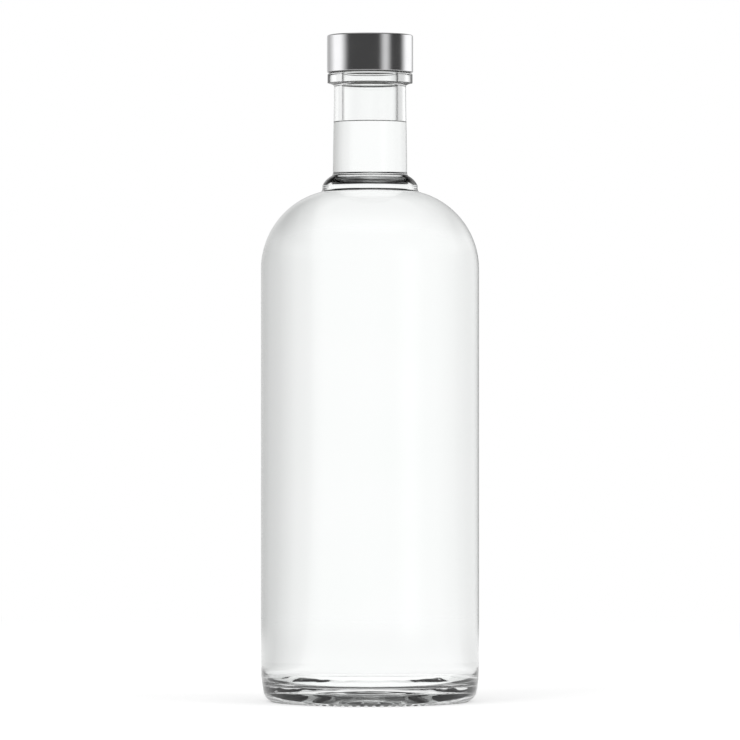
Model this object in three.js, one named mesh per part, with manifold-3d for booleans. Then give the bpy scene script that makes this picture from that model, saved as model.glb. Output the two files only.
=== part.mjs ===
// A 750 ml glass spirits bottle with its screw cap, in millimetres, +Z up.
// The origin is the centre of the base, on the surface that the bottle stands on.
import * as THREE from 'three';
import { mergeVertices } from 'three/addons/utils/BufferGeometryUtils.js';
import Module from 'manifold-3d';

const wasm = await Module();
wasm.setup();

// Body and shoulder of the glass
const BODY_RADIUS = 40.2;
const BODY_WALL = 3.0;
const SHOULDER_START = 159.4;
const SHOULDER_ROUND = 29.3;

// Heel, where the wall turns under the bottle
const HEEL_HEIGHT = 13.0;
const HEEL_TUCK = 0.9;
const HEEL_CORNER_HEIGHT = 3.6;
const HEEL_CORNER_PULL = { width: 0.4, height: 0.55 };
const HEEL_STRAIGHTEN = 0.6;

// Bearing ring with its radial stipples
const BEARING_SETBACK = 3.8;
const BEARING_WIDTH = 2.8;
const STIPPLE_COUNT = 80;
const STIPPLE_HEIGHT = 0.33;
const STIPPLE_FOOT_WIDTH = 1.9;
const STIPPLE_TOP_WIDTH = 0.9;
const STIPPLE_ROOT = 0.4;
const STIPPLE_END_SLOPE = 0.5;

// Punt: a steep step inside the bearing ring, and a shallow dome above it
const PUNT_DEPTH = 7.0;
const PUNT_STEP_HEIGHT = 4.9;
const PUNT_STEP_WIDTH = 4.0;
const PUNT_STEP_ROUND = 0.8;

// Floor of the cavity: raised over the punt, and lower in a ring round it
const BASE_THICKNESS = 2.0;
const FLOOR_FALL = 2.4;
const FLOOR_FALL_WIDTH = 9.0;
const INNER_HEEL_ROUND = 6.0;

// Collar at the foot of the neck
const COLLAR_WIDTH = 3.9;
const COLLAR_FILLET = 1.5;
const COLLAR_LAND = 1.1;
const COLLAR_ROUND_HEIGHT = 3.6;
const COLLAR_BULGE = 0.6;
const NECK_FILLET_HEIGHT = 1.6;
const NECK_FILLET_WIDTH = 0.45;
const COLLAR_FILLET_PULL = 0.15;
const NECK_FILLET_PULL = 0.5;

// Neck, bore and transfer ring
const NECK_LENGTH = 31.5;
const NECK_STEP = 0.58;
const NECK_TAPER = 0.37;
const NECK_TAPER_FOOT = 6.0;
const NECK_TAPER_HEAD = 5.0;
const BORE_FLARE_HEIGHT = 4.6;
const BORE_FLARE_WIDTH = 4.8;
const BORE_FLARE_PULL = 0.3;
const RING_SETBACK = 0.19;
const RING_HEIGHT = 3.5;
const RING_UNDERCUT = 1.1;
const RING_UNDERCUT_PULL = { width: 0.1, share: 0.6 };
const RING_EDGE_ROUND = 0.5;

// Threaded finish above the ring
const FINISH_RADIUS = 12.7;
const FINISH_WALL = 2.3;
const FINISH_HEIGHT = 11.1;
const LIP_ROUND = 0.8;
const THREAD_PITCH = 4.233;
const GLASS_THREAD_TURNS = 1.5;
const GLASS_THREAD_RISE = 1.1;
const GLASS_THREAD_FOOT = 2.2;
const GLASS_THREAD_CREST = 0.9;
const GLASS_THREAD_DROP = 2.4;
const THREAD_ROOT = 0.4;
const THREAD_FADE_TURNS = 1 / 12;
const THREAD_END_RISE = 0.05;

// Screw cap: a drawn aluminium shell over a moulded insert, with a sealing wad
const CAP_RING_GAP = 0.5;
const SHELL_WALL = 0.35;
const SHELL_EDGE_ROUND = 0.55;
const INSERT_WALL = 1.0;
const INSERT_TOP = 0.8;
const INSERT_RECESS = 0.4;
const INSERT_THREAD_START = 0.35;
const INSERT_THREAD_TURNS = 1.25;
const INSERT_THREAD_FOOT = 1.5;
const INSERT_THREAD_CREST = 0.7;
const LINER_THICKNESS = 1.0;
const LINER_MARGIN = 0.4;

// Clearance left between pieces that touch, and the play of the two threads on each other
const CLEARANCE = 0.3;
const CREST_PLAY = 0.42;
const ROOT_PLAY = 0.37;

// Level of the spirit in the neck
const FILL_LEVEL = 213.4;

// Facets round each revolved piece
const GLASS_SEGMENTS = 60;
const VODKA_SEGMENTS = 48;
const SHELL_SEGMENTS = 56;
const INSERT_SEGMENTS = 44;

// Radii of the neck, the ring and the cap follow from the finish and its thread.
const BORE_RADIUS = FINISH_RADIUS - FINISH_WALL;
const NECK_UPPER_RADIUS = FINISH_RADIUS + NECK_STEP;
const NECK_LOWER_RADIUS = NECK_UPPER_RADIUS + NECK_TAPER;
const COLLAR_RADIUS = NECK_LOWER_RADIUS + COLLAR_WIDTH;
const GLASS_THREAD_RADIUS = FINISH_RADIUS + GLASS_THREAD_RISE;
const INSERT_THREAD_RADIUS = FINISH_RADIUS + ROOT_PLAY;
const INSERT_INNER_RADIUS = GLASS_THREAD_RADIUS + CREST_PLAY;
const INSERT_OUTER_RADIUS = INSERT_INNER_RADIUS + INSERT_WALL;
const CAP_RADIUS = INSERT_OUTER_RADIUS + CLEARANCE + SHELL_WALL;
const RING_RADIUS = CAP_RADIUS - RING_SETBACK;

// Heights and radii that follow from the sizes above
const shoulderCentre = BODY_RADIUS - SHOULDER_ROUND;
const collarFoot = shoulderHeight(COLLAR_RADIUS + COLLAR_FILLET, SHOULDER_ROUND);
const collarLandFoot = collarFoot + COLLAR_FILLET;
const collarLandTop = collarLandFoot + COLLAR_LAND;
const collarTop = collarLandTop + COLLAR_ROUND_HEIGHT;
const neckFoot = collarTop + NECK_FILLET_HEIGHT;
const ringFoot = neckFoot + NECK_LENGTH;
const ringTop = ringFoot + RING_UNDERCUT + RING_HEIGHT;
const lipHeight = ringTop + FINISH_HEIGHT;
const linerFoot = lipHeight + CLEARANCE;
const insertCeiling = linerFoot + LINER_THICKNESS + CLEARANCE;
const insertTop = insertCeiling + INSERT_TOP;
const shellCeiling = insertTop + CLEARANCE;
const capTop = shellCeiling + SHELL_WALL;
const capFoot = ringTop + CAP_RING_GAP;
const innerBodyRadius = BODY_RADIUS - BODY_WALL;
const innerShoulderRound = SHOULDER_ROUND - BODY_WALL;
const bearingOuterRadius = BODY_RADIUS - BEARING_SETBACK;
const bearingInnerRadius = bearingOuterRadius - BEARING_WIDTH;
const puntStepRadius = bearingInnerRadius - PUNT_STEP_WIDTH;
const floorHeight = PUNT_DEPTH + BASE_THICKNESS;
const glassThreadFoot = lipHeight - GLASS_THREAD_DROP - THREAD_PITCH * GLASS_THREAD_TURNS;
const threadOffset = (GLASS_THREAD_FOOT + INSERT_THREAD_CREST) / 2 + CLEARANCE;

// Height of a shoulder arc, outside or inside, at a distance from the axis.
function shoulderHeight(radius, round) {
  return SHOULDER_START + Math.sqrt(round ** 2 - (radius - shoulderCentre) ** 2);
}

function point(radius, height) {
  return new THREE.Vector2(radius, height);
}

function line(from, to) {
  return { curve: new THREE.LineCurve(from, to), steps: 1 };
}

// A circular or elliptical arc in the section, angles in turns of a right angle from +radius.
function arc(centre, width, height, fromQuarter, toQuarter, steps) {
  const start = fromQuarter * Math.PI / 2;
  const end = toQuarter * Math.PI / 2;
  const clockwise = toQuarter < fromQuarter;
  const curve = new THREE.EllipseCurve(centre.x, centre.y, width, height, start, end, clockwise);
  return { curve, steps };
}

function bend(from, pull, to, steps) {
  return { curve: new THREE.QuadraticBezierCurve(from, pull, to), steps };
}

// Joins stretches into one list of section points, without doubled ends.
function section(...stretches) {
  const points = [];
  for (const { curve, steps } of stretches) {
    for (const next of curve.getPoints(steps)) {
      const last = points[points.length - 1];
      if (!last || last.distanceTo(next) > 1e-4) points.push(next);
    }
  }
  return points;
}

// Turns a section round +Z.
function revolve(points, segments) {
  const geometry = new THREE.LatheGeometry(points, segments);
  geometry.rotateX(Math.PI / 2);
  return geometry;
}

function toSolid(geometry) {
  const bare = geometry.clone();
  bare.deleteAttribute('normal');
  bare.deleteAttribute('uv');
  const merged = mergeVertices(bare, 1e-5);
  const index = merged.index.array;
  const triangles = [];
  for (let i = 0; i < index.length; i += 3) {
    const [a, b, c] = [index[i], index[i + 1], index[i + 2]];
    if (a !== b && b !== c && c !== a) triangles.push(a, b, c);
  }
  return new wasm.Manifold(new wasm.Mesh({
    numProp: 3,
    vertProperties: Float32Array.from(merged.attributes.position.array),
    triVerts: Uint32Array.from(triangles),
  }));
}

function toGeometry(solid) {
  const mesh = solid.getMesh();
  const geometry = new THREE.BufferGeometry();
  geometry.setAttribute('position', new THREE.BufferAttribute(mesh.vertProperties, 3));
  geometry.setIndex(new THREE.BufferAttribute(mesh.triVerts, 1));
  return geometry;
}

// A right-hand helical rib. Its section is a trapezoid between rootRadius and crestRadius,
// and at both ends the crest sinks back to the root.
function helicalRib({ rootRadius, crestRadius, foot, crest, turns, startHeight, segments }) {
  const steps = Math.round(turns * segments);
  const fade = segments * THREAD_FADE_TURNS;
  const positions = [];
  const indices = [];
  for (let i = 0; i <= steps; i += 1) {
    const angle = (i / segments) * 2 * Math.PI;
    const middle = startHeight + THREAD_PITCH * i / segments;
    const rise = Math.max(THREAD_END_RISE, Math.min(1, i / fade, (steps - i) / fade));
    const reach = rootRadius + (crestRadius - rootRadius) * rise;
    const corners = [
      [rootRadius, middle - foot / 2],
      [reach, middle - crest / 2],
      [reach, middle + crest / 2],
      [rootRadius, middle + foot / 2],
    ];
    for (const [radius, height] of corners) {
      positions.push(radius * Math.cos(angle), radius * Math.sin(angle), height);
    }
  }
  for (let i = 0; i < steps; i += 1) {
    for (let k = 0; k < 4; k += 1) {
      const a = 4 * i + k;
      const b = 4 * i + (k + 1) % 4;
      indices.push(a, a + 4, b, b, a + 4, b + 4);
    }
  }
  const last = 4 * steps;
  indices.push(0, 1, 2, 0, 2, 3);
  indices.push(last, last + 2, last + 1, last, last + 3, last + 2);
  if (crestRadius < rootRadius) indices.reverse();
  const geometry = new THREE.BufferGeometry();
  geometry.setAttribute('position', new THREE.Float32BufferAttribute(positions, 3));
  geometry.setIndex(indices);
  return geometry;
}

// Outside of the bottle, from the middle of the punt up to the lip.
function glassOutside() {
  const stepHead = point(puntStepRadius, PUNT_STEP_HEIGHT);
  const bearingInner = point(bearingInnerRadius, STIPPLE_HEIGHT);
  const bearingOuter = point(bearingOuterRadius, STIPPLE_HEIGHT);
  const stepStart = stepHead.clone().lerp(bearingInner, PUNT_STEP_ROUND / PUNT_STEP_WIDTH);
  const domeEdge = point(puntStepRadius - PUNT_STEP_ROUND, PUNT_STEP_HEIGHT);
  const heelFoot = point(BODY_RADIUS - HEEL_TUCK, HEEL_CORNER_HEIGHT);
  const heelPull = point(heelFoot.x - HEEL_CORNER_PULL.width, STIPPLE_HEIGHT + HEEL_CORNER_PULL.height);
  const shoulderEnd = point(COLLAR_RADIUS + COLLAR_FILLET, collarFoot);
  const arcEnd = Math.acos((shoulderEnd.x - shoulderCentre) / SHOULDER_ROUND) / (Math.PI / 2);
  const landFoot = point(COLLAR_RADIUS, collarLandFoot);
  const landTop = point(COLLAR_RADIUS, collarLandTop);
  const roundEnd = point(NECK_LOWER_RADIUS + NECK_FILLET_WIDTH, collarTop);
  const roundPull = point(
    (landTop.x + roundEnd.x) / 2 + COLLAR_BULGE,
    (landTop.y + roundEnd.y) / 2 + COLLAR_BULGE,
  );
  const neckStart = point(NECK_LOWER_RADIUS, neckFoot);
  const taperStart = point(NECK_LOWER_RADIUS, neckFoot + NECK_TAPER_FOOT);
  const taperEnd = point(NECK_UPPER_RADIUS, ringFoot - NECK_TAPER_HEAD);
  const neckEnd = point(NECK_UPPER_RADIUS, ringFoot);
  const ringCorner = point(RING_RADIUS, ringFoot + RING_UNDERCUT);
  const ringPull = point(
    NECK_UPPER_RADIUS + RING_UNDERCUT_PULL.width,
    ringFoot + RING_UNDERCUT * RING_UNDERCUT_PULL.share,
  );
  const ringEdge = point(RING_RADIUS - RING_EDGE_ROUND, ringTop - RING_EDGE_ROUND);
  return [
    bend(point(0, PUNT_DEPTH), point(puntStepRadius / 2, PUNT_DEPTH), domeEdge, 3),
    bend(domeEdge, stepHead, stepStart, 2),
    line(stepStart, bearingInner),
    line(bearingInner, bearingOuter),
    bend(bearingOuter, heelPull, heelFoot, 4),
    bend(heelFoot, point(BODY_RADIUS, HEEL_HEIGHT * HEEL_STRAIGHTEN),
      point(BODY_RADIUS, HEEL_HEIGHT), 2),
    line(point(BODY_RADIUS, HEEL_HEIGHT), point(BODY_RADIUS, SHOULDER_START)),
    arc(point(shoulderCentre, SHOULDER_START), SHOULDER_ROUND, SHOULDER_ROUND, 0, arcEnd, 7),
    bend(shoulderEnd, point(COLLAR_RADIUS, collarFoot + COLLAR_FILLET_PULL), landFoot, 2),
    line(landFoot, landTop),
    bend(landTop, roundPull, roundEnd, 3),
    bend(roundEnd, point(NECK_LOWER_RADIUS, collarTop + NECK_FILLET_PULL), neckStart, 2),
    line(neckStart, taperStart),
    line(taperStart, taperEnd),
    line(taperEnd, neckEnd),
    bend(neckEnd, ringPull, ringCorner, 2),
    line(ringCorner, point(RING_RADIUS, ringEdge.y)),
    arc(ringEdge, RING_EDGE_ROUND, RING_EDGE_ROUND, 0, 1, 1),
    line(point(ringEdge.x, ringTop), point(FINISH_RADIUS, ringTop)),
    line(point(FINISH_RADIUS, ringTop), point(FINISH_RADIUS, lipHeight - LIP_ROUND)),
    arc(point(FINISH_RADIUS - LIP_ROUND, lipHeight - LIP_ROUND), LIP_ROUND, LIP_ROUND, 0, 1, 1),
  ];
}

// Inside of the bottle, from the middle of its floor up to the bore, moved in by a clearance.
function cavityInside(clearance) {
  const floorCentre = point(0, floorHeight + clearance);
  const floorEdge = point(innerBodyRadius - INNER_HEEL_ROUND, floorCentre.y - FLOOR_FALL);
  const fallStart = point(floorEdge.x - FLOOR_FALL_WIDTH, floorCentre.y);
  const fallMiddle = fallStart.clone().lerp(floorEdge, 1 / 2);
  const heelRound = INNER_HEEL_ROUND - clearance;
  const heelCentre = point(floorEdge.x, floorEdge.y + heelRound);
  const wall = innerBodyRadius - clearance;
  const round = innerShoulderRound - clearance;
  const flareStart = BORE_RADIUS + BORE_FLARE_WIDTH;
  const arcEnd = Math.acos((flareStart - shoulderCentre) / round) / (Math.PI / 2);
  const flareFoot = point(flareStart, shoulderHeight(flareStart, round));
  const boreFoot = point(BORE_RADIUS - clearance, flareFoot.y + BORE_FLARE_HEIGHT);
  return {
    boreFoot,
    stretches: [
      line(floorCentre, fallStart),
      bend(fallStart, point((fallStart.x + fallMiddle.x) / 2, fallStart.y), fallMiddle, 2),
      bend(fallMiddle, point((fallMiddle.x + floorEdge.x) / 2, floorEdge.y), floorEdge, 2),
      arc(heelCentre, heelRound, heelRound, -1, 0, 3),
      line(point(wall, heelCentre.y), point(wall, SHOULDER_START)),
      arc(point(shoulderCentre, SHOULDER_START), round, round, 0, arcEnd, 6),
      bend(flareFoot, point(boreFoot.x, flareFoot.y + BORE_FLARE_PULL), boreFoot, 3),
    ],
  };
}

// One radial bar of the bearing ring, with a flat top to stand on and sloping ends.
function stipple(index) {
  const half = STIPPLE_FOOT_WIDTH / 2;
  const flat = STIPPLE_TOP_WIDTH / 2;
  const outline = new THREE.Shape([
    point(-half, STIPPLE_HEIGHT + STIPPLE_ROOT),
    point(-half, STIPPLE_HEIGHT),
    point(-flat, 0),
    point(flat, 0),
    point(half, STIPPLE_HEIGHT),
    point(half, STIPPLE_HEIGHT + STIPPLE_ROOT),
  ]);
  const geometry = new THREE.ExtrudeGeometry(outline, { depth: BEARING_WIDTH, bevelEnabled: false });
  const corners = geometry.attributes.position;
  for (let i = 0; i < corners.count; i += 1) {
    const outerEnd = corners.getZ(i) > BEARING_WIDTH / 2;
    const onTop = corners.getY(i) < STIPPLE_HEIGHT / 2;
    if (onTop) corners.setZ(i, outerEnd ? BEARING_WIDTH - STIPPLE_END_SLOPE : STIPPLE_END_SLOPE);
  }
  geometry.rotateX(Math.PI / 2);
  geometry.rotateZ(Math.PI / 2);
  geometry.translate(bearingInnerRadius, 0, 0);
  geometry.rotateZ(index / STIPPLE_COUNT * 2 * Math.PI);
  return geometry;
}

// The bottle: one blown piece from its punted base to the lip.
function glassBottle() {
  const { boreFoot, stretches } = cavityInside(0);
  const boreHead = point(BORE_RADIUS, lipHeight - LIP_ROUND);
  const lipInner = point(BORE_RADIUS + LIP_ROUND, lipHeight);
  const inside = section(...stretches, line(boreFoot, boreHead)).reverse();
  const outline = section(
    ...glassOutside(),
    line(point(FINISH_RADIUS - LIP_ROUND, lipHeight), lipInner),
    arc(point(lipInner.x, boreHead.y), LIP_ROUND, LIP_ROUND, 1, 2, 1),
  ).concat(inside.slice(1));
  const thread = helicalRib({
    rootRadius: FINISH_RADIUS - THREAD_ROOT,
    crestRadius: GLASS_THREAD_RADIUS,
    foot: GLASS_THREAD_FOOT,
    crest: GLASS_THREAD_CREST,
    turns: GLASS_THREAD_TURNS,
    startHeight: glassThreadFoot,
    segments: GLASS_SEGMENTS,
  });
  let solid = toSolid(revolve(outline, GLASS_SEGMENTS)).add(toSolid(thread));
  for (let index = 0; index < STIPPLE_COUNT; index += 1) {
    solid = solid.add(toSolid(stipple(index)));
  }
  return toGeometry(solid);
}

// The spirit: it fills the cavity up to its level in the neck.
function vodka() {
  const { boreFoot, stretches } = cavityInside(CLEARANCE);
  const surfaceEdge = point(boreFoot.x, FILL_LEVEL);
  const outline = section(
    ...stretches,
    line(boreFoot, surfaceEdge),
    line(surfaceEdge, point(0, FILL_LEVEL)),
  );
  return revolve(outline, VODKA_SEGMENTS);
}

// The cap's shell: a shallow drawn cup of thin sheet with a rounded top edge.
function capShell() {
  const innerRound = SHELL_EDGE_ROUND - SHELL_WALL;
  const innerRadius = CAP_RADIUS - SHELL_WALL;
  const roundCentre = point(CAP_RADIUS - SHELL_EDGE_ROUND, capTop - SHELL_EDGE_ROUND);
  const outline = section(
    line(point(0, shellCeiling), point(roundCentre.x, shellCeiling)),
    arc(roundCentre, innerRound, innerRound, 1, 0, 2),
    line(point(innerRadius, roundCentre.y), point(innerRadius, capFoot)),
    line(point(innerRadius, capFoot), point(CAP_RADIUS, capFoot)),
    line(point(CAP_RADIUS, capFoot), point(CAP_RADIUS, roundCentre.y)),
    arc(roundCentre, SHELL_EDGE_ROUND, SHELL_EDGE_ROUND, 0, 1, 4),
    line(point(roundCentre.x, capTop), point(0, capTop)),
  );
  return revolve(outline, SHELL_SEGMENTS);
}

// The cap's insert: a moulded cup whose inner thread runs under the one on the glass.
function capInsert() {
  const foot = capFoot + INSERT_RECESS;
  const bevel = INSERT_WALL / 2;
  const outline = section(
    line(point(0, insertCeiling), point(INSERT_INNER_RADIUS, insertCeiling)),
    line(point(INSERT_INNER_RADIUS, insertCeiling), point(INSERT_INNER_RADIUS, foot + bevel)),
    line(point(INSERT_INNER_RADIUS, foot + bevel), point(INSERT_INNER_RADIUS + bevel, foot)),
    line(point(INSERT_INNER_RADIUS + bevel, foot), point(INSERT_OUTER_RADIUS, foot)),
    line(point(INSERT_OUTER_RADIUS, foot), point(INSERT_OUTER_RADIUS, insertTop - bevel)),
    line(point(INSERT_OUTER_RADIUS, insertTop - bevel), point(INSERT_OUTER_RADIUS - bevel, insertTop)),
    line(point(INSERT_OUTER_RADIUS - bevel, insertTop), point(0, insertTop)),
  );
  const thread = helicalRib({
    rootRadius: INSERT_INNER_RADIUS + THREAD_ROOT,
    crestRadius: INSERT_THREAD_RADIUS,
    foot: INSERT_THREAD_FOOT,
    crest: INSERT_THREAD_CREST,
    turns: INSERT_THREAD_TURNS,
    startHeight: glassThreadFoot - threadOffset + THREAD_PITCH * INSERT_THREAD_START,
    segments: INSERT_SEGMENTS,
  });
  thread.rotateZ(INSERT_THREAD_START * 2 * Math.PI);
  return toGeometry(toSolid(revolve(outline, INSERT_SEGMENTS)).add(toSolid(thread)));
}

// The sealing wad between the lip and the insert's ceiling.
function capLiner() {
  const radius = INSERT_INNER_RADIUS - LINER_MARGIN;
  const top = linerFoot + LINER_THICKNESS;
  const outline = section(
    line(point(0, linerFoot), point(radius, linerFoot)),
    line(point(radius, linerFoot), point(radius, top)),
    line(point(radius, top), point(0, top)),
  );
  return revolve(outline, INSERT_SEGMENTS);
}

function addPart(parent, name, geometry, finish) {
  const mesh = new THREE.Mesh(geometry, new THREE.MeshStandardMaterial(finish));
  mesh.name = name;
  parent.add(mesh);
}

const clearGlass = { color: 0xf3f8f6, roughness: 0.03, metalness: 0, transparent: true, opacity: 0.35 };
const clearSpirit = { color: 0xfafcff, roughness: 0.0, metalness: 0, transparent: true, opacity: 0.3 };
const satinAluminium = { color: 0xc9cacc, roughness: 0.24, metalness: 1 };
const naturalPlastic = { color: 0xe8e8e4, roughness: 0.45, metalness: 0 };
const foamedWad = { color: 0xf4f3ee, roughness: 0.8, metalness: 0 };

const bottle = new THREE.Group();
const screwCap = new THREE.Group();
addPart(bottle, 'glass_bottle', glassBottle(), clearGlass);
addPart(bottle, 'vodka', vodka(), clearSpirit);
addPart(screwCap, 'cap_shell', capShell(), satinAluminium);
addPart(screwCap, 'cap_insert', capInsert(), naturalPlastic);
addPart(screwCap, 'cap_liner', capLiner(), foamedWad);
bottle.add(screwCap);

export default bottle;
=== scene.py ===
# Looks of a clear glass spirits bottle with its screw cap, in metres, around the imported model.
import math

import bpy
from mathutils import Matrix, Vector


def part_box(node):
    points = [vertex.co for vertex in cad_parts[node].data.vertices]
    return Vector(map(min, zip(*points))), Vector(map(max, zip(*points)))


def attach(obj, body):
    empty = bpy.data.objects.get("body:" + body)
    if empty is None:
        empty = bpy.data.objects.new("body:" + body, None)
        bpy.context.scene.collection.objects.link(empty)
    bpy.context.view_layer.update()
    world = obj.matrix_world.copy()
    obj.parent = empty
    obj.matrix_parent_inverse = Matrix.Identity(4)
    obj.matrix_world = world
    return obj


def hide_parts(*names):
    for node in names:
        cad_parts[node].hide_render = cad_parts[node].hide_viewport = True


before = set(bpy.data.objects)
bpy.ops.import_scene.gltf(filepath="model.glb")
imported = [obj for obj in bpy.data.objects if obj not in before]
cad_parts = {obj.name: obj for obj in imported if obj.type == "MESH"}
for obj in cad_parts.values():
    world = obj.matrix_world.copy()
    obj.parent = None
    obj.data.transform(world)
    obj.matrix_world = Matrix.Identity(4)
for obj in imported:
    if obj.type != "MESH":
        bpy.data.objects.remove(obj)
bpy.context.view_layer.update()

MM = 0.001

# Sizes are in millimetres. Those that the frame knows are read from it.
BODY_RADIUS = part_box("glass_bottle")[1][0] / MM
LIP_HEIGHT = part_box("glass_bottle")[1][2] / MM
CAP_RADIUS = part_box("cap_shell")[1][0] / MM
CAP_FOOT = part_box("cap_shell")[0][2] / MM
CAP_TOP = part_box("cap_shell")[1][2] / MM
FILL_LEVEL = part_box("vodka")[1][2] / MM

# Body and shoulder
BODY_WALL = 3.0
SHOULDER_START = 159.4
SHOULDER_ROUND = 29.3

# Base, from the heel inwards. A pull is how far a bend's middle point lies from its corner.
HEEL_HEIGHT = 13.0
HEEL_TUCK = 0.9
HEEL_CORNER_HEIGHT = 3.6
HEEL_CORNER_PULL = (0.4, 0.55)
HEEL_STRAIGHTEN = 0.6
BEARING_SETBACK = 3.8
BEARING_WIDTH = 2.8
PUNT_DEPTH = 7.0
PUNT_STEP_HEIGHT = 4.9
PUNT_STEP_WIDTH = 4.0
PUNT_STEP_ROUND = 0.8
PUNT_STEP_FOOT_ROUND = 0.3
BASE_THICKNESS = 2.0
FLOOR_FALL = 2.4
FLOOR_FALL_WIDTH = 9.0
INNER_HEEL_ROUND = 6.0

# Stipples of the bearing ring, which fade out towards both its edges and up the wall
STIPPLE_COUNT = 80
STIPPLE_HEIGHT = 0.33
STIPPLE_INNER_FADE = 0.6
STIPPLE_OUTER_FADE = 0.9
STIPPLE_CONTRAST = 1.5
STIPPLE_REACH = 3.0

# Finish, neck, ring and collar. Their radii follow from the finish's, and the ring's from the cap's.
FINISH_RADIUS = 12.7
FINISH_WALL = 2.3
NECK_STEP = 0.58
NECK_TAPER = 0.37
COLLAR_WIDTH = 3.9
RING_SETBACK = 0.19
BORE_RADIUS = FINISH_RADIUS - FINISH_WALL
NECK_UPPER_RADIUS = FINISH_RADIUS + NECK_STEP
NECK_LOWER_RADIUS = NECK_UPPER_RADIUS + NECK_TAPER
COLLAR_RADIUS = NECK_LOWER_RADIUS + COLLAR_WIDTH
RING_RADIUS = CAP_RADIUS - RING_SETBACK
COLLAR_FILLET = 1.5
COLLAR_FILLET_PULL = 0.15
COLLAR_LAND = 1.1
COLLAR_ROUND_HEIGHT = 3.6
COLLAR_BULGE = 0.6
NECK_FILLET_HEIGHT = 1.6
NECK_FILLET_WIDTH = 0.45
NECK_FILLET_PULL = 0.5
NECK_LENGTH = 31.5
NECK_TAPER_FOOT = 6.0
NECK_TAPER_HEAD = 5.0
BORE_FLARE_HEIGHT = 4.6
BORE_FLARE_WIDTH = 4.8
BORE_FLARE_PULL = 0.3
RING_HEIGHT = 3.5
RING_UNDERCUT = 1.1
RING_UNDERCUT_PULL = (0.1, 0.6)
RING_EDGE_ROUND = 0.5
LIP_ROUND = 0.8

# Thread of the finish. It is raised only from its own wall, and only above the ring.
THREAD_PITCH = 4.233
THREAD_TURNS = 1.5
THREAD_RISE = 1.1
THREAD_DROP = 2.4
THREAD_HALF_FOOT = 1.1
THREAD_HALF_CREST = 0.35
THREAD_FADE = 1 / 12
THREAD_WALL_DEPTH = 0.02
THREAD_ABOVE_RING = 0.05

# Facets round the glass are a whole number to each stipple, so that all stipples are alike.
GLASS_SEGMENTS = 5 * STIPPLE_COUNT
SPIRIT_SEGMENTS = 192
CAP_SEGMENTS = 256

# The spirit stands a hair inside the wall and climbs it in a small meniscus.
SPIRIT_GAP = 0.04
MENISCUS_HEIGHT = 0.45
MENISCUS_WIDTH = 1.2
MENISCUS_PULL = 0.25
MENISCUS_LIP = 0.05

# Cap shell
SHELL_WALL = 0.35
SHELL_EDGE_ROUND = 0.55

# Spans this near to the end of a straight stretch keep the stretch itself shaded flat.
CORNER_SPAN = 0.04

# Points of an outline this near to each other are one, and this near to the axis lie on it.
SAME_PLACE = 1e-5
ON_AXIS = 1e-6

# How much glass and spirit bend light. Where spirit wets the glass, the wall bends by one over the other.
GLASS_IOR = 1.52
SPIRIT_IOR = 1.36
SPIRIT_SIDE_ALPHA = 0.02

# The skin of blown glass wanders a little, and more where the glass is thick: in the base and the collar.
SKIN_SCALE = 28.0
SKIN_WAVE = 0.03
SKIN_DEPTH = 0.0004
THICK_WAVE = 10.0
THICK_SCALE = 110.0
THICK_HALF_COLLAR = 6.0
THICK_FADE = 3.0

# Painted shade: round the ring and the bore, the glass's colour darkens towards black where the face is
# seen edge-on.
RIM_SHADE_START = 0.50
RIM_SHADE_SPAN = 0.22
RIM_SHADE_NECK = 0.85
RIM_SHADE_RING = 1.0

# The spirit's faint drift
DRIFT_SCALE = 12.0

# Spun aluminium: noise drawn out round the axis into fine rings, over larger clouds
SPIN_STRETCH = 0.02
SPIN_SCALE = 9000.0
SPIN_DEPTH = 0.00002
SPIN_STRENGTH = 0.05
CLOUD_SCALE = 160.0
SATIN_ROUGHNESS = 0.13
SATIN_BY_RING = 0.06
SATIN_BY_CLOUD = 0.03

# Moulded plastic
MOULD_SCALE = 900.0
MOULD_DEPTH = 0.00005
MOULD_STRENGTH = 0.1
MOULD_ROUGHNESS_SPAN = 0.1

# The photograph's frame, in pixels, and where the bottle lies in it
PHOTO_SIZE = 740
BODY_HALF_WIDTH_PX = 109.0
HORIZON_PX = 398.0
BASE_PX = 701.2
CAMERA_DISTANCE_PX = 5414.0
CAMERA_REACH = 100.0
SENSOR_MM = 36.0

# What the glass sees level round it: brightness by degrees from straight behind, on each side
BACKDROP_RIGHT = (
    (0, 1.053), (13, 1.053), (16, 1.02), (18, 0.955), (21, 0.905), (24, 0.865), (27, 0.81),
    (30.5, 0.757), (35, 0.69), (48, 0.685), (62, 0.684), (90, 0.55), (120, 0.3), (180, 0.6),
)
BACKDROP_LEFT = (
    (0, 1.053), (20, 1.053), (25.5, 1.03), (29, 1.0), (33, 0.925), (38.5, 0.875), (45, 0.852),
    (60, 0.87), (75, 0.82), (90, 0.75), (120, 0.3), (180, 0.6),
)

# A colour ramp is given levels up to 1, so the backdrop's levels go into it halved.
RAMP_REACH = 2.0

# What metal mirrors level round it: azimuth in degrees from the camera's side, positive to the right;
# half width; soft edge; brightness
MIRRORED_PANELS = (
    (-99.0, 9.0, 33.0, 1.12),
    (-152.0, 16.0, 18.0, 0.42),
    (42.5, 1.0, 19.0, 0.68),
    (128.0, 11.0, 30.0, 1.15),
    (180.0, 8.0, 28.0, 0.30),
)
MIRRORED_DARK = 0.066

# Higher up, by degrees of rise: the panels end, metal mirrors a plain ceiling, and glass sees a dark one.
PANELS_END = 14.0
PANELS_FADE = 20.0
OVERHEAD_START = 45.0
OVERHEAD_FADE = 15.0
OVERHEAD_LEVEL = 0.5
CEILING_START = 50.0
CEILING_FADE = 10.0
CEILING_DARKNESS = 0.97
SKY_LEVEL = 0.8

# Floor, in metres. The lit part near the bottle is brighter than the backdrop by its surplus, which the
# glass doesn't see.
FLOOR_SIZE = 60.0
FLOOR_GREY = 0.55
FLOOR_GLOW = 0.50
FLOOR_SURPLUS = 0.14
FLOOR_NEAR = 0.35
FLOOR_FADE = 0.40

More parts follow.
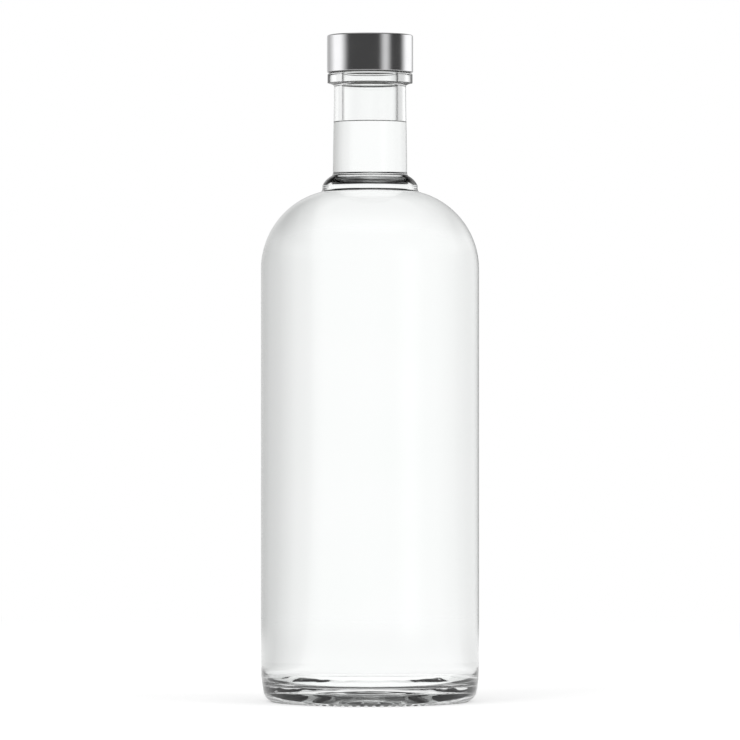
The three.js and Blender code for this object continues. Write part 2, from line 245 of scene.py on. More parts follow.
# Lamps, in metres and watts: name, place, energy
LAMPS = (
    ("key_lamp", (-0.9, -0.9, 1.3), 9.0),
    ("fill_lamp", (1.1, -0.5, 1.1), 6.0),
)
LAMP_WIDTH = 1.0
LAMP_AIM = (0.0, 0.0, 0.12)

HALF_TURN = 180.0
FULL_TURN = 360.0


class Wire:
    """A socket of a node tree. Arithmetic on wires adds Math nodes to their tree."""

    def __init__(self, tree, socket):
        self.tree = tree
        self.socket = socket

    def math(self, operation, *others):
        node = self.tree.nodes.new("ShaderNodeMath")
        node.operation = operation
        for slot, value in enumerate((self,) + others):
            feed(self.tree, node.inputs[slot], value)
        return Wire(self.tree, node.outputs[0])

    def __add__(self, other):
        return self.math("ADD", other)

    def __sub__(self, other):
        return self.math("SUBTRACT", other)

    def __mul__(self, other):
        return self.math("MULTIPLY", other)

    def __truediv__(self, other):
        return self.math("DIVIDE", other)

    def __rsub__(self, other):
        return (self * -1.0).math("ADD", other)

    __radd__ = __add__
    __rmul__ = __mul__

    def clamped(self):
        return self.math("MAXIMUM", 0.0).math("MINIMUM", 1.0)

    def smooth(self):
        """Eases a 0 to 1 mask in and out."""
        held = self.clamped()
        return held * held * (3.0 - 2.0 * held)


def feed(tree, socket, value):
    """Sets a socket to a number, or links a wire to it."""
    if isinstance(value, Wire):
        tree.links.new(value.socket, socket)
    else:
        socket.default_value = value


class Tree:
    """One node tree, with one method that adds any node."""

    def __init__(self, tree):
        self.tree = tree
        self.tree.nodes.clear()

    def node(self, kind, inputs=None, output=0, **settings):
        node = self.tree.nodes.new(kind)
        for name, value in settings.items():
            setattr(node, name, value)
        for name, value in (inputs or {}).items():
            feed(self.tree, node.inputs[name], value)
        return Wire(self.tree, node.outputs[output]) if node.outputs else node

    def ramp(self, factor, stops):
        node = self.tree.nodes.new("ShaderNodeValToRGB")
        elements = node.color_ramp.elements
        while len(elements) > 1:
            elements.remove(elements[-1])
        elements[0].position = stops[0][0]
        elements[0].color = stops[0][1]
        for place, colour in stops[1:]:
            elements.new(place).color = colour
        feed(self.tree, node.inputs[0], factor)
        return Wire(self.tree, node.outputs[0])

    def parts(self, vector):
        node = self.tree.nodes.new("ShaderNodeSeparateXYZ")
        feed(self.tree, node.inputs[0], vector)
        return [Wire(self.tree, node.outputs[axis]) for axis in range(3)]


def grey(level):
    return (level, level, level, 1.0)


# Section outlines: lists of (radius, height), made of straight lines, arcs and soft bends

def between(start, end, share):
    return tuple(a + (b - a) * share for a, b in zip(start, end))


def line(start, end, steps=1):
    """A straight stretch, with a short span at each end."""
    short = CORNER_SPAN / max(math.dist(start, end), 3 * CORNER_SPAN)
    shares = [short + (1 - 2 * short) * i / steps for i in range(steps + 1)]
    return [start] + [between(start, end, share) for share in shares] + [end]


def arc(centre, radius, from_deg, to_deg, steps):
    points = []
    for i in range(steps + 1):
        angle = math.radians(from_deg + (to_deg - from_deg) * i / steps)
        points.append((centre[0] + radius * math.cos(angle), centre[1] + radius * math.sin(angle)))
    return points


def bend(start, pull, end, steps):
    points = []
    for i in range(steps + 1):
        t = i / steps
        weights = ((1 - t) ** 2, 2 * t * (1 - t), t * t)
        points.append(tuple(sum(w * p[k] for w, p in zip(weights, (start, pull, end))) for k in (0, 1)))
    return points


def join(*stretches):
    """Joins stretches of (points, slot), and gives the points and the slot of each span."""
    outline = []
    slots = []
    for points, slot in stretches:
        for place in points:
            if outline and math.dist(outline[-1], place) < SAME_PLACE:
                continue
            if outline:
                slots.append(slot)
            outline.append(place)
    return outline, slots


def revolve(name, outline, slots, segments):
    """Turns an outline that runs from the axis to the axis round +Z into a closed smooth mesh."""
    verts = []
    rings = []
    for radius, height in outline:
        if radius < ON_AXIS:
            rings.append([len(verts)])
            verts.append((0.0, 0.0, height * MM))
            continue
        rings.append(list(range(len(verts), len(verts) + segments)))
        for i in range(segments):
            angle = 2 * math.pi * i / segments
            verts.append((radius * math.cos(angle) * MM, radius * math.sin(angle) * MM, height * MM))
    faces = []
    marks = []
    for low, high, slot in zip(rings, rings[1:], slots):
        for i in range(segments):
            j = (i + 1) % segments
            if len(low) == 1:
                faces.append((low[0], high[j], high[i]))
            elif len(high) == 1:
                faces.append((low[i], low[j], high[0]))
            else:
                faces.append((low[i], low[j], high[j], high[i]))
            marks.append(slot)
    mesh = bpy.data.meshes.new(name)
    mesh.from_pydata(verts, [], faces)
    mesh.polygons.foreach_set("material_index", marks)
    mesh.polygons.foreach_set("use_smooth", [True] * len(faces))
    piece = bpy.data.objects.new(name, mesh)
    bpy.context.scene.collection.objects.link(piece)
    return piece


# Heights and radii that follow from the sizes above

shoulder_centre = BODY_RADIUS - SHOULDER_ROUND
bearing_outer_radius = BODY_RADIUS - BEARING_SETBACK
bearing_inner_radius = bearing_outer_radius - BEARING_WIDTH
punt_step_radius = bearing_inner_radius - PUNT_STEP_WIDTH
floor_height = PUNT_DEPTH + BASE_THICKNESS


def shoulder_height(radius, round_radius):
    return SHOULDER_START + math.sqrt(round_radius ** 2 - (radius - shoulder_centre) ** 2)


collar_foot = shoulder_height(COLLAR_RADIUS + COLLAR_FILLET, SHOULDER_ROUND)
land_foot = collar_foot + COLLAR_FILLET
land_top = land_foot + COLLAR_LAND
collar_top = land_top + COLLAR_ROUND_HEIGHT
neck_foot = collar_top + NECK_FILLET_HEIGHT
ring_foot = neck_foot + NECK_LENGTH
ring_top = ring_foot + RING_UNDERCUT + RING_HEIGHT

# Material slots of the glass: dry skin, wall wetted by the spirit, and the faces with painted shade where
# seen edge-on
DRY, WET, SHADED_RIM = 0, 1, 2

# Material slots of the spirit
SIDE, SURFACE = 0, 1


def glass_outside():
    """From the middle of the punt, round the bearing ring and up the outside to the lip."""
    step_head = (punt_step_radius, PUNT_STEP_HEIGHT)
    bearing_inner = (bearing_inner_radius, STIPPLE_HEIGHT)
    bearing_outer = (bearing_outer_radius, STIPPLE_HEIGHT)
    step_start = between(step_head, bearing_inner, PUNT_STEP_ROUND / PUNT_STEP_WIDTH)
    step_end = between(bearing_inner, step_head, PUNT_STEP_FOOT_ROUND / PUNT_STEP_WIDTH)
    dome_edge = (punt_step_radius - PUNT_STEP_ROUND, PUNT_STEP_HEIGHT)
    foot_start = (bearing_inner_radius + PUNT_STEP_FOOT_ROUND, STIPPLE_HEIGHT)
    heel_foot = (BODY_RADIUS - HEEL_TUCK, HEEL_CORNER_HEIGHT)
    heel_pull = (heel_foot[0] - HEEL_CORNER_PULL[0], STIPPLE_HEIGHT + HEEL_CORNER_PULL[1])
    heel_top = (BODY_RADIUS, HEEL_HEIGHT)
    shoulder_end = (COLLAR_RADIUS + COLLAR_FILLET, collar_foot)
    arc_end = math.degrees(math.acos((shoulder_end[0] - shoulder_centre) / SHOULDER_ROUND))
    fillet_pull = (COLLAR_RADIUS, collar_foot + COLLAR_FILLET_PULL)
    land = [(COLLAR_RADIUS, land_foot), (COLLAR_RADIUS, land_top)]
    round_end = (NECK_LOWER_RADIUS + NECK_FILLET_WIDTH, collar_top)
    round_pull = (
        (COLLAR_RADIUS + round_end[0]) / 2 + COLLAR_BULGE,
        (land_top + round_end[1]) / 2 + COLLAR_BULGE,
    )
    neck_pull = (NECK_LOWER_RADIUS, collar_top + NECK_FILLET_PULL)
    neck_start = (NECK_LOWER_RADIUS, neck_foot)
    taper_start = (NECK_LOWER_RADIUS, neck_foot + NECK_TAPER_FOOT)
    taper_end = (NECK_UPPER_RADIUS, ring_foot - NECK_TAPER_HEAD)
    neck_end = (NECK_UPPER_RADIUS, ring_foot)
    ring_corner = (RING_RADIUS, ring_foot + RING_UNDERCUT)
    ring_pull = (
        NECK_UPPER_RADIUS + RING_UNDERCUT_PULL[0],
        ring_foot + RING_UNDERCUT * RING_UNDERCUT_PULL[1],
    )
    ring_edge = (RING_RADIUS - RING_EDGE_ROUND, ring_top - RING_EDGE_ROUND)
    finish_foot = (FINISH_RADIUS, ring_top)
    lip_edge = (FINISH_RADIUS - LIP_ROUND, LIP_HEIGHT - LIP_ROUND)
    below_ring = [
        bend((0.0, PUNT_DEPTH), (punt_step_radius / 2, PUNT_DEPTH), dome_edge, 10),
        bend(dome_edge, step_head, step_start, 8),
        line(step_start, step_end, 3),
        bend(step_end, bearing_inner, foot_start, 4),
        line(foot_start, bearing_outer, 6),
        bend(bearing_outer, heel_pull, heel_foot, 14),
        bend(heel_foot, (BODY_RADIUS, HEEL_HEIGHT * HEEL_STRAIGHTEN), heel_top, 8),
        line(heel_top, (BODY_RADIUS, SHOULDER_START)),
        arc((shoulder_centre, SHOULDER_START), SHOULDER_ROUND, 0, arc_end, 22),
        bend(shoulder_end, fillet_pull, land[0], 6),
        line(*land),
        bend(land[1], round_pull, round_end, 10),
        bend(round_end, neck_pull, neck_start, 5),
        line(neck_start, taper_start),
        line(taper_start, taper_end, 2),
        line(taper_end, neck_end),
        bend(neck_end, ring_pull, ring_corner, 6),
    ]
    ring_face = line(ring_corner, (RING_RADIUS, ring_edge[1]))
    above_ring = [
        arc(ring_edge, RING_EDGE_ROUND, 0, 90, 4),
        line((ring_edge[0], ring_top), finish_foot),
        line(finish_foot, (FINISH_RADIUS, lip_edge[1]), 32),
        arc(lip_edge, LIP_ROUND, 0, 90, 5),
    ]
    stretches = [(points, DRY) for points in below_ring]
    stretches.append((ring_face, SHADED_RIM))
    stretches.extend((points, DRY) for points in above_ring)
    return stretches


def cavity(gap):
    """From the middle of the floor up the inside to the foot of the bore, moved in by a gap."""
    floor_middle = (0.0, floor_height + gap)
    wall = BODY_RADIUS - BODY_WALL - gap
    heel_round = INNER_HEEL_ROUND - gap
    floor_edge = (wall - heel_round, floor_middle[1] - FLOOR_FALL)
    fall_start = (floor_edge[0] - FLOOR_FALL_WIDTH, floor_middle[1])
    fall_middle = between(fall_start, floor_edge, 0.5)
    heel_centre = (floor_edge[0], floor_edge[1] + heel_round)
    round_radius = SHOULDER_ROUND - BODY_WALL - gap
    flare_radius = BORE_RADIUS + BORE_FLARE_WIDTH
    arc_end = math.degrees(math.acos((flare_radius - shoulder_centre) / round_radius))
    flare_foot = (flare_radius, shoulder_height(flare_radius, round_radius))
    bore_foot = (BORE_RADIUS - gap, flare_foot[1] + BORE_FLARE_HEIGHT)
    stretches = [
        line(floor_middle, fall_start, 4),
        bend(fall_start, ((fall_start[0] + fall_middle[0]) / 2, fall_start[1]), fall_middle, 7),
        bend(fall_middle, ((fall_middle[0] + floor_edge[0]) / 2, floor_edge[1]), floor_edge, 7),
        arc(heel_centre, heel_round, -90, 0, 12),
        line((wall, heel_centre[1]), (wall, SHOULDER_START)),
        arc((shoulder_centre, SHOULDER_START), round_radius, 0, arc_end, 18),
        bend(flare_foot, (bore_foot[0], flare_foot[1] + BORE_FLARE_PULL), bore_foot, 10),
    ]
    return stretches, bore_foot


def make_glass():
    """The blown bottle, before its stipples and thread are raised."""
    wet_stretches, bore_foot = cavity(0.0)
    wet_top = (BORE_RADIUS, FILL_LEVEL + MENISCUS_HEIGHT)
    lip_inner = (BORE_RADIUS + LIP_ROUND, LIP_HEIGHT)
    bore_head = (BORE_RADIUS, LIP_HEIGHT - LIP_ROUND)
    stretches = glass_outside()
    stretches.append((line((FINISH_RADIUS - LIP_ROUND, LIP_HEIGHT), lip_inner), DRY))
    stretches.append((arc((lip_inner[0], bore_head[1]), LIP_ROUND, 90, 180, 5), DRY))
    stretches.append((line(bore_head, wet_top), SHADED_RIM))
    stretches.append((line(wet_top, bore_foot), WET))
    for points in reversed(wet_stretches):
        stretches.append((points[::-1], WET))
    outline, slots = join(*stretches)
    return revolve("bottle_glass", outline, slots, GLASS_SEGMENTS)


def relief_tree(finishes):
    """Geometry nodes that raise the radial stipples of the base and the thread of the finish."""
    tree = bpy.data.node_groups.new("glass_relief", "GeometryNodeTree")
    face = tree.interface
    face.new_socket("Geometry", in_out="INPUT", socket_type="NodeSocketGeometry")
    for name in ("Stipple Count", "Stipple Height", "Bearing Inner", "Bearing Outer", "Thread Pitch",
                 "Thread Rise", "Thread Foot Height", "Finish Radius", "Ring Top"):
        face.new_socket(name, in_out="INPUT", socket_type="NodeSocketFloat")
    face.new_socket("Geometry", in_out="OUTPUT", socket_type="NodeSocketGeometry")
    pot = Tree(tree)
    source = tree.nodes.new("NodeGroupInput")
    size = {socket.name: Wire(tree, socket) for socket in source.outputs if socket.name}
    place = pot.node("GeometryNodeInputPosition")
    x, y, z = pot.parts(place)
    radius = (x * x + y * y).math("SQRT")
    angle = y.math("ARCTAN2", x)

    inner, outer = size["Bearing Inner"], size["Bearing Outer"]
    deep = size["Stipple Height"]
    from_inner = ((radius - inner) / (STIPPLE_INNER_FADE * MM)).smooth()
    from_outer = ((outer - radius) / (STIPPLE_OUTER_FADE * MM) + 1.0).smooth()
    low = ((deep * STIPPLE_REACH - z) / deep).clamped()
    ripple = ((angle * size["Stipple Count"]).math("COSINE") * STIPPLE_CONTRAST + 0.5).smooth()
    sink = ripple * from_inner * from_outer * low * deep

    turn = angle / (2 * math.pi)
    turn = turn + turn.math("LESS_THAN", 0.0)
    height = z - size["Thread Foot Height"]
    pitch = size["Thread Pitch"]
    last_wrap = float(math.floor(THREAD_TURNS))
    wraps = (height / pitch - turn + 0.5).math("FLOOR").math("MAXIMUM", 0.0)
    wraps = wraps.math("MINIMUM", last_wrap)
    along = turn + wraps
    off = (height - along * pitch).math("ABSOLUTE")
    flank = (THREAD_HALF_FOOT * MM - off) / ((THREAD_HALF_FOOT - THREAD_HALF_CREST) * MM)
    ends = (along / THREAD_FADE).clamped() * ((THREAD_TURNS - along) / THREAD_FADE).clamped()
    off_wall = ((radius - size["Finish Radius"]) / (THREAD_WALL_DEPTH * MM)).math("ABSOLUTE")
    on_wall = (1.0 - off_wall).clamped()
    above = (z - size["Ring Top"]).math("GREATER_THAN", 0.0)
    swell = flank.smooth() * ends * on_wall * above * size["Thread Rise"]

    offset = pot.node("ShaderNodeCombineXYZ", {
        "X": x / radius * swell, "Y": y / radius * swell, "Z": sink * -1.0,
    })
    plain = Wire(tree, source.outputs["Geometry"])
    moved = pot.node("GeometryNodeSetPosition", {"Geometry": plain, "Offset": offset})
    shape = pot.node("GeometryNodeRealizeInstances", {"Geometry": moved})
    slot = pot.node("GeometryNodeInputMaterialIndex")
    for number, finish in enumerate(finishes):
        chosen = (slot - float(number)).math("ABSOLUTE").math("LESS_THAN", 0.5)
        shape = pot.node("GeometryNodeSetMaterial", {
            "Geometry": shape, "Selection": chosen, "Material": finish,
        })
    result = tree.nodes.new("NodeGroupOutput")
    tree.links.new(shape.socket, result.inputs["Geometry"])
    return tree


def raise_relief(piece):
    """Runs the relief nodes on a piece with their sizes set, and keeps the result as a plain mesh."""
    tree = relief_tree(list(piece.data.materials))
    run = piece.modifiers.new("glass_relief", "NODES")
    run.node_group = tree
    thread_foot = LIP_HEIGHT - THREAD_DROP - THREAD_PITCH * THREAD_TURNS
    sizes = {
        "Stipple Count": float(STIPPLE_COUNT),
        "Stipple Height": STIPPLE_HEIGHT * MM,
        "Bearing Inner": bearing_inner_radius * MM,
        "Bearing Outer": bearing_outer_radius * MM,
        "Thread Pitch": THREAD_PITCH * MM,
        "Thread Rise": THREAD_RISE * MM,
        "Thread Foot Height": thread_foot * MM,
        "Finish Radius": FINISH_RADIUS * MM,
        "Ring Top": (ring_top + THREAD_ABOVE_RING) * MM,
    }
    for item in tree.interface.items_tree:
        if item.in_out == "INPUT" and item.name in sizes:
            run[item.identifier] = sizes[item.name]
    bpy.context.view_layer.update()
    seen = piece.evaluated_get(bpy.context.evaluated_depsgraph_get())
    plain = bpy.data.meshes.new_from_object(seen)
    piece.modifiers.clear()
    piece.data = plain


def make_spirit():
    """The liquid: a closed body just inside the wall, with a meniscus at its surface."""
    stretches, bore_foot = cavity(SPIRIT_GAP)
    wall = bore_foot[0]
    climb = (wall, FILL_LEVEL + MENISCUS_HEIGHT - MENISCUS_LIP)
    rim = (wall - MENISCUS_WIDTH, FILL_LEVEL)
    outline, slots = join(
        *[(points, SIDE) for points in stretches],
        (line(bore_foot, climb), SIDE),
        (bend(climb, (wall - MENISCUS_PULL, FILL_LEVEL), rim, 10), SURFACE),
        (line(rim, (0.0, FILL_LEVEL)), SURFACE),
    )
    return revolve("spirit", outline, slots, SPIRIT_SEGMENTS)


def make_shell():
    """The drawn metal shell, with a rounded top edge and a foot rolled slightly in."""
    inner_radius = CAP_RADIUS - SHELL_WALL
    top_round = (CAP_RADIUS - SHELL_EDGE_ROUND, CAP_TOP - SHELL_EDGE_ROUND)
    foot_round = (CAP_RADIUS - SHELL_WALL / 2, CAP_FOOT + SHELL_WALL / 2)
    stretches = [
        line((0.0, CAP_TOP - SHELL_WALL), (top_round[0], CAP_TOP - SHELL_WALL)),
        arc(top_round, SHELL_EDGE_ROUND - SHELL_WALL, 90, 0, 4),
        line((inner_radius, top_round[1]), (inner_radius, foot_round[1])),
        arc(foot_round, SHELL_WALL / 2, 180, 360, 8),
        line((CAP_RADIUS, foot_round[1]), (CAP_RADIUS, top_round[1])),
        arc(top_round, SHELL_EDGE_ROUND, 0, 90, 8),
        line((top_round[0], CAP_TOP), (0.0, CAP_TOP), 6),
    ]
    outline, slots = join(*[(points, 0) for points in stretches])
    return revolve("cap_metal_shell", outline, slots, CAP_SEGMENTS)


# Finishes

def surface(name, **plain):
    """A new material with one Principled shader, its plain numbers set on its own sockets."""
    material = bpy.data.materials.new(name)
    material.use_nodes = True
    pot = Tree(material.node_tree)
    shader = pot.tree.nodes.new("ShaderNodeBsdfPrincipled")
    result = pot.tree.nodes.new("ShaderNodeOutputMaterial")
    pot.tree.links.new(shader.outputs[0], result.inputs["Surface"])
    for name_of_socket, value in plain.items():
        shader.inputs[name_of_socket.replace("_", " ")].default_value = value
    return material, pot, shader


def place_on_object(pot):
    return pot.node("ShaderNodeTexCoord", output=3)


def flint_glass(name, ior, rim=None):
    """Clear glass with a wandering skin. A rim gets painted shade edge-on, to the two shares given for
    neck and ring.
    """
    material, pot, shader = surface(name, Roughness=0.0, IOR=ior, Transmission_Weight=1.0)
    place = place_on_object(pot)
    z = pot.parts(place)[2]
    skin = pot.node("ShaderNodeTexNoise", {"Vector": place, "Scale": SKIN_SCALE, "Detail": 1.0})
    colour = pot.ramp(skin, [
        (0.3, (0.985, 0.995, 0.99, 1.0)),
        (0.7, (0.995, 1.0, 0.998, 1.0)),
    ])
    # Painted shade: the colour is mixed towards black where the face is seen edge-on.
    if rim:
        low, high = rim
        facing = pot.node("ShaderNodeLayerWeight", {"Blend": 0.5}, output=1)
        on_ring = z.math("GREATER_THAN", ring_foot * MM)
        held = ((facing - RIM_SHADE_START) / RIM_SHADE_SPAN).smooth() * (low + on_ring * (high - low))
        rim_shade_inputs = {0: held, 6: colour, 7: grey(0.0)}
        colour = pot.node("ShaderNodeMix", rim_shade_inputs, output=2, data_type="RGBA")
    feed(pot.tree, shader.inputs["Base Color"], colour)
    grain = pot.node("ShaderNodeTexNoise", {"Vector": place, "Scale": THICK_SCALE, "Detail": 1.0})
    in_base = ((HEEL_HEIGHT * MM - z) / (THICK_FADE * MM)).smooth()
    from_collar = (z - land_top * MM).math("ABSOLUTE") - THICK_HALF_COLLAR * MM
    in_collar = (1.0 - from_collar / (THICK_FADE * MM)).smooth()
    height = skin + grain * (in_base + in_collar) * THICK_WAVE
    bumps = pot.node("ShaderNodeBump", {
        "Height": height, "Strength": SKIN_WAVE, "Distance": SKIN_DEPTH,
    })
    feed(pot.tree, shader.inputs["Normal"], bumps)
    return material


def spirit_finish(name, ior, side=False):
    """Clear spirit. Its side lets light straight through, because the wetted wall bends it there."""
    material, pot, shader = surface(name, Roughness=0.0, IOR=ior, Transmission_Weight=1.0)
    drift = pot.node("ShaderNodeTexNoise", {"Vector": place_on_object(pot), "Scale": DRIFT_SCALE})
    feed(pot.tree, shader.inputs["Base Color"], pot.ramp(drift, [
        (0.3, (0.998, 0.999, 1.0, 1.0)),
        (0.7, (1.0, 1.0, 1.0, 1.0)),
    ]))
    if side:
        feed(pot.tree, shader.inputs["Alpha"], drift * SPIRIT_SIDE_ALPHA)
    return material


def spun_aluminium():
    """Satin drawn aluminium: fine rings from spinning, a little cloudier in places."""
    material, pot, shader = surface("spun_aluminium", Metallic=1.0)
    place = place_on_object(pot)
    x, y, z = pot.parts(place)
    drawn_out = {"X": x * SPIN_STRETCH, "Y": y * SPIN_STRETCH, "Z": z}
    rings = pot.node("ShaderNodeCombineXYZ", drawn_out)
    lines = pot.node("ShaderNodeTexNoise", {"Vector": rings, "Scale": SPIN_SCALE, "Detail": 2.0})
    cloud = pot.node("ShaderNodeTexNoise", {"Vector": place, "Scale": CLOUD_SCALE})
    feed(pot.tree, shader.inputs["Base Color"], pot.ramp(cloud, [
        (0.3, (0.80, 0.80, 0.81, 1.0)),
        (0.7, (0.84, 0.84, 0.85, 1.0)),
    ]))
    roughness = SATIN_ROUGHNESS + lines * SATIN_BY_RING + cloud * SATIN_BY_CLOUD
    feed(pot.tree, shader.inputs["Roughness"], roughness)
    bumps = pot.node("ShaderNodeBump", {
        "Height": lines, "Strength": SPIN_STRENGTH, "Distance": SPIN_DEPTH,
    })
    feed(pot.tree, shader.inputs["Normal"], bumps)
    return material


def moulded_plastic(name, dark, pale, roughness):
    """Plain moulded plastic with a fine, even grain."""
    material, pot, shader = surface(name)
    grain = pot.node("ShaderNodeTexNoise", {"Vector": place_on_object(pot), "Scale": MOULD_SCALE})
    feed(pot.tree, shader.inputs["Base Color"], pot.ramp(grain, [(0.3, dark), (0.7, pale)]))
    feed(pot.tree, shader.inputs["Roughness"], roughness + grain * MOULD_ROUGHNESS_SPAN)
    bumps = pot.node("ShaderNodeBump", {
        "Height": grain, "Strength": MOULD_STRENGTH, "Distance": MOULD_DEPTH,
    })
    feed(pot.tree, shader.inputs["Normal"], bumps)
    return material


def dress(node, material):
    """Gives a CAD node a better material."""
    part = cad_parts[node]
    part.data.materials.clear()
    part.data.materials.append(material)


# The pieces

glass = make_glass()
glass.data.materials.append(flint_glass("clear_glass", GLASS_IOR))
glass.data.materials.append(flint_glass("wetted_glass", GLASS_IOR / SPIRIT_IOR))
# The ring's face and the dry bore get painted shade where they are seen edge-on.
glass.data.materials.append(flint_glass("rim_glass_painted_shade", GLASS_IOR, rim=(RIM_SHADE_NECK, RIM_SHADE_RING)))
raise_relief(glass)
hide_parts("glass_bottle")
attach(glass, "bottle")

spirit = make_spirit()
spirit.data.materials.append(spirit_finish("spirit_side", 1.0, side=True))
spirit.data.materials.append(spirit_finish("spirit_surface", SPIRIT_IOR))
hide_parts("vodka")
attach(spirit, "bottle")

shell = make_shell()
shell.data.materials.append(spun_aluminium())
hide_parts("cap_shell")
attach(shell, "cap")

insert_shades = ((0.78, 0.78, 0.76, 1.0), (0.84, 0.84, 0.82, 1.0))
dress("cap_insert", moulded_plastic("insert_plastic", *insert_shades, 0.4))
liner_shades = ((0.84, 0.83, 0.80, 1.0), (0.90, 0.89, 0.86, 1.0))
dress("cap_liner", moulded_plastic("liner_foam", *liner_shades, 0.7))


# Studio

def ray_kinds(pot):
    """Masks for camera rays, rays off a mirror, and rays through clear glass, which count as both."""
    path = pot.tree.nodes.new("ShaderNodeLightPath")
    kinds = ("Is Camera Ray", "Is Glossy Ray", "Is Transmission Ray")
    camera_ray, glossy_ray, glass_ray = [Wire(pot.tree, path.outputs[kind]) for kind in kinds]
    return camera_ray, glossy_ray * (1.0 - glass_ray), glass_ray


def azimuth_of(x, y):
    """Degrees from the camera's side, positive to the right."""
    return x.math("ARCTAN2", y * -1.0) * (HALF_TURN / math.pi)


def backdrop(pot, azimuth):
    """Brightness of the backdrop as the glass sees it in the direction of an azimuth."""
    aside = (HALF_TURN - azimuth.math("ABSOLUTE")) / HALF_TURN
    on_right = azimuth.math("GREATER_THAN", 0.0)
    sides = []
    for stops in (BACKDROP_RIGHT, BACKDROP_LEFT):
        shades = [(place / HALF_TURN, grey(level / RAMP_REACH)) for place, level in stops]
        sides.append(pot.ramp(aside, shades) * RAMP_REACH)
    return on_right * sides[0] + (1.0 - on_right) * sides[1]


def panel(azimuth, centre, half_width, edge, level):
    """Brightness of one upright panel in the direction of an azimuth."""
    turned = azimuth + (FULL_TURN + HALF_TURN - centre)
    off = turned.math("MODULO", FULL_TURN) - HALF_TURN
    return ((half_width + edge - off.math("ABSOLUTE")) / edge).smooth() * level


def mirrored(azimuth):
    """Brightness that metal mirrors level round it."""
    level = MIRRORED_DARK
    for row in MIRRORED_PANELS:
        level = panel(azimuth, *row) + level
    return level


def make_floor():
    """A wide pale floor that keeps the shadow near the bottle and far off turns into a glowing backdrop,
    with painted light for metal and glass.
    """
    bpy.ops.mesh.primitive_plane_add(size=FLOOR_SIZE, location=(0.0, 0.0, 0.0))
    floor = bpy.context.object
    floor.name = "floor"
    material = bpy.data.materials.new("pale_floor")
    material.use_nodes = True
    pot = Tree(material.node_tree)
    camera_ray, glossy_ray, glass_ray = ray_kinds(pot)
    x, y = pot.parts(place_on_object(pot))[:2]
    far = (((x * x + y * y).math("SQRT") - FLOOR_NEAR) / FLOOR_FADE).smooth()
    azimuth = azimuth_of(x, y)
    seen = (camera_ray + glossy_ray + glass_ray).clamped()
    # Painted light: to metal and glass the floor glows in the mirrored panels' and the backdrop's
    # pattern, and near the bottle its glow for glass is dimmed to the backdrop's level.
    behind = backdrop(pot, azimuth)
    as_backdrop = camera_ray + glossy_ray * mirrored(azimuth) + glass_ray * behind
    near_glow = FLOOR_GLOW - glass_ray * (1.0 + FLOOR_SURPLUS - behind)
    strength = far * as_backdrop + (1.0 - far) * seen * near_glow.math("MAXIMUM", 0.0)
    glow = pot.node("ShaderNodeEmission", {"Color": grey(1.0), "Strength": strength})
    matt = pot.node("ShaderNodeBsdfDiffuse", {"Color": grey(FLOOR_GREY)})
    dark = pot.node("ShaderNodeBsdfDiffuse", {"Color": grey(0.0)})
    # Far off, rays from the eye, metal and glass see the floor unlit, so only its glow shows.
    unlit_far_mix = pot.tree.nodes.new("ShaderNodeMixShader")
    feed(pot.tree, unlit_far_mix.inputs[0], far * seen)
    pot.tree.links.new(matt.socket, unlit_far_mix.inputs[1])
    pot.tree.links.new(dark.socket, unlit_far_mix.inputs[2])
    both = pot.tree.nodes.new("ShaderNodeAddShader")
    pot.tree.links.new(glow.socket, both.inputs[0])
    pot.tree.links.new(unlit_far_mix.outputs[0], both.inputs[1])
    result = pot.tree.nodes.new("ShaderNodeOutputMaterial")
    pot.tree.links.new(both.outputs[0], result.inputs["Surface"])
    floor.data.materials.append(material)


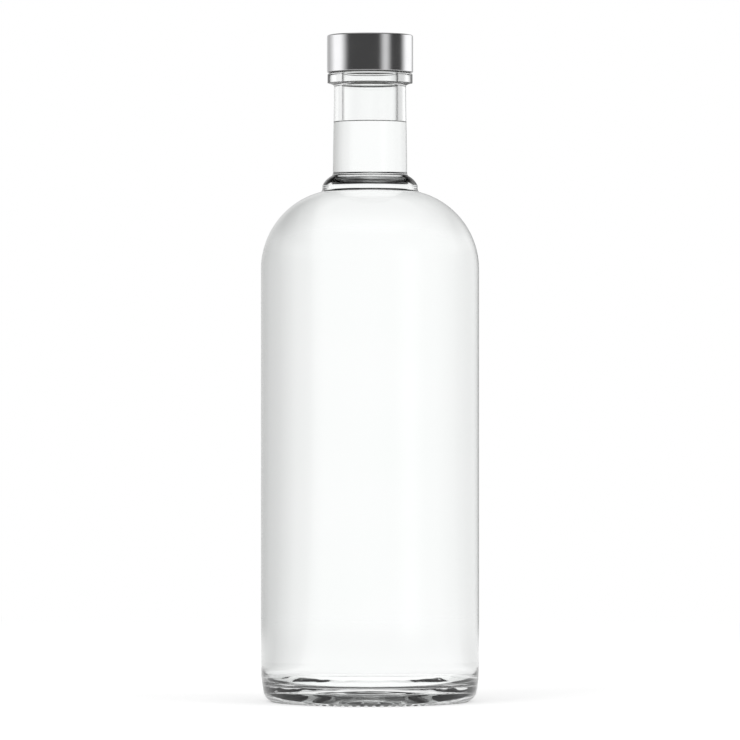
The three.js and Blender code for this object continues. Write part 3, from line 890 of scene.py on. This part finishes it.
def make_world():
    """White backdrop for the eye, panels for metal, and a plain soft sky for the lighting."""
    world = bpy.data.worlds.new("studio")
    world.use_nodes = True
    world.cycles.sampling_method = "NONE"
    bpy.context.scene.world = world
    pot = Tree(world.node_tree)
    camera_ray, glossy_ray, glass_ray = ray_kinds(pot)
    x, y, z = pot.parts(pot.node("ShaderNodeTexCoord", output=0))
    azimuth = azimuth_of(x, y)
    rise = z.math("ARCSINE") * (HALF_TURN / math.pi)
    overhead = ((rise - OVERHEAD_START) / OVERHEAD_FADE).smooth() * OVERHEAD_LEVEL
    level_with = 1.0 - ((rise - PANELS_END) / PANELS_FADE).smooth()
    panels = mirrored(azimuth) * level_with + overhead
    ceiling = ((rise - CEILING_START) / CEILING_FADE).smooth()
    through = backdrop(pot, azimuth) * (1.0 - CEILING_DARKNESS * ceiling)
    plain = (1.0 - (camera_ray + glossy_ray + glass_ray).clamped()) * SKY_LEVEL
    level = camera_ray + glossy_ray * panels + glass_ray * through + plain
    sky = pot.node("ShaderNodeBackground", {"Color": grey(1.0), "Strength": level})
    result = pot.tree.nodes.new("ShaderNodeOutputWorld")
    pot.tree.links.new(sky.socket, result.inputs["Surface"])


def make_lamp(name, place, energy):
    """A soft square lamp aimed at the middle of the bottle, not mirrored in it."""
    light = bpy.data.lights.new(name, "AREA")
    light.size = LAMP_WIDTH
    light.energy = energy
    lamp = bpy.data.objects.new(name, light)
    bpy.context.scene.collection.objects.link(lamp)
    lamp.location = place
    aim = Vector(LAMP_AIM) - Vector(place)
    lamp.rotation_euler = aim.to_track_quat("-Z", "Y").to_euler()
    lamp.visible_glossy = False
    lamp.visible_transmission = False
    lamp.visible_camera = False


def make_camera():
    """The photograph's view: level, from far off, with the picture raised by a small shift."""
    metres_per_px = BODY_RADIUS * MM / BODY_HALF_WIDTH_PX
    camera = bpy.data.cameras.new("camera")
    camera.sensor_width = SENSOR_MM
    camera.lens = CAMERA_DISTANCE_PX / PHOTO_SIZE * SENSOR_MM
    camera.shift_y = (HORIZON_PX - PHOTO_SIZE / 2) / PHOTO_SIZE
    camera.clip_end = CAMERA_REACH
    eye = bpy.data.objects.new("camera", camera)
    bpy.context.scene.collection.objects.link(eye)
    eye.location = (0.0, -CAMERA_DISTANCE_PX * metres_per_px, (BASE_PX - HORIZON_PX) * metres_per_px)
    eye.rotation_euler = (math.pi / 2, 0.0, 0.0)
    bpy.context.scene.camera = eye


make_floor()
make_world()
for lamp_name, lamp_place, lamp_energy in LAMPS:
    make_lamp(lamp_name, lamp_place, lamp_energy)
make_camera()

bpy.context.scene.view_settings.view_transform = "Standard"
